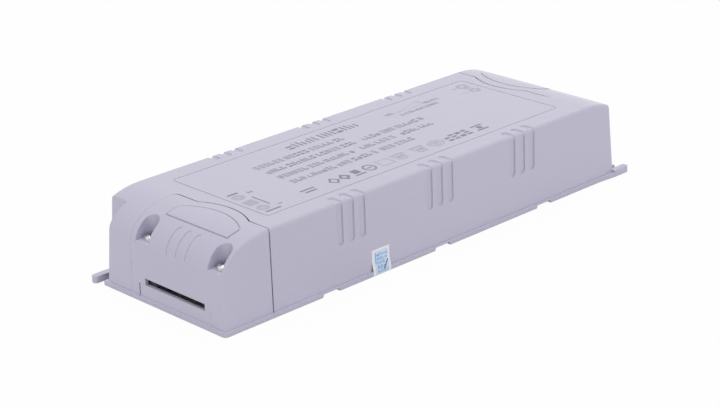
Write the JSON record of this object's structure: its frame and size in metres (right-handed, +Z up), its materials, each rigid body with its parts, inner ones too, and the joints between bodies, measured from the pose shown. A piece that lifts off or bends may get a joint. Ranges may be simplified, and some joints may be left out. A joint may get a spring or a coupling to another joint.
{
  "type": "dimmable led power supply",
  "caption": "Long low plastic-cased power supply with rounded ends, screwed terminal covers, cable slots and two open fixing ears at opposite corners.",
  "frame": {"origin": "centre of the underside of the base tray, on the surface that the supply stands or is fixed on", "axes": "+X along the case from the input end to the output end, +Y across it, +Z up from the mounting surface"},
  "size_m": [0.2234, 0.0766, 0.0343],
  "materials": {
    "case_plastic": "satin moulded",
    "screw_steel": "bright zinc",
    "label_film": "printed film",
    "sheet_film": "thin film",
    "board_green": "lacquered",
    "black_plastic": "moulded",
    "glass_ceramic": "glazed",
    "blue_coating": "dipped",
    "yellow_plastic": "moulded",
    "ferrite": "matt",
    "copper_wire": "enamelled",
    "red_plastic": "dipped",
    "resistor_body": "lacquered",
    "can_sleeve": "shrunk sleeve",
    "sink_aluminium": "extruded",
    "tape_yellow": "taped"
  },
  "bodies": {
    "root": {"base_tray": "case_plastic", "top_cover": "case_plastic", "input_terminal_cover": "case_plastic", "output_terminal_cover": "case_plastic", "cover_screws": "screw_steel", "seal_label": "label_film", "insulating_sheet": "sheet_film", "circuit_board": "board_green", "board_screws": "screw_steel", "input_terminal_block": "black_plastic", "output_terminal_block": "black_plastic", "terminal_screws": "screw_steel", "input_cable_clamp": "black_plastic", "output_cable_clamp": "black_plastic", "clamp_screws": "screw_steel", "fuse": "glass_ceramic", "varistor": "blue_coating", "thermistor": "black_plastic", "x_capacitor": "yellow_plastic", "y_capacitors": "blue_coating", "choke_core": "ferrite", "choke_windings": "copper_wire", "bridge_rectifier": "black_plastic", "dimming_capacitor": "red_plastic", "dimming_resistors": "resistor_body", "boost_inductor_core": "ferrite", "boost_inductor_bobbin": "black_plastic", "boost_inductor_winding": "copper_wire", "bulk_capacitors": "can_sleeve", "switching_heatsink": "sink_aluminium", "switching_transistor": "black_plastic", "transformer_core": "ferrite", "transformer_bobbin": "black_plastic", "transformer_winding": "tape_yellow", "output_heatsink": "sink_aluminium", "output_diode": "black_plastic", "heatsink_screws": "screw_steel", "output_capacitors": "can_sleeve", "optocoupler": "black_plastic", "control_chips": "black_plastic"}
  },
  "joints": []
}
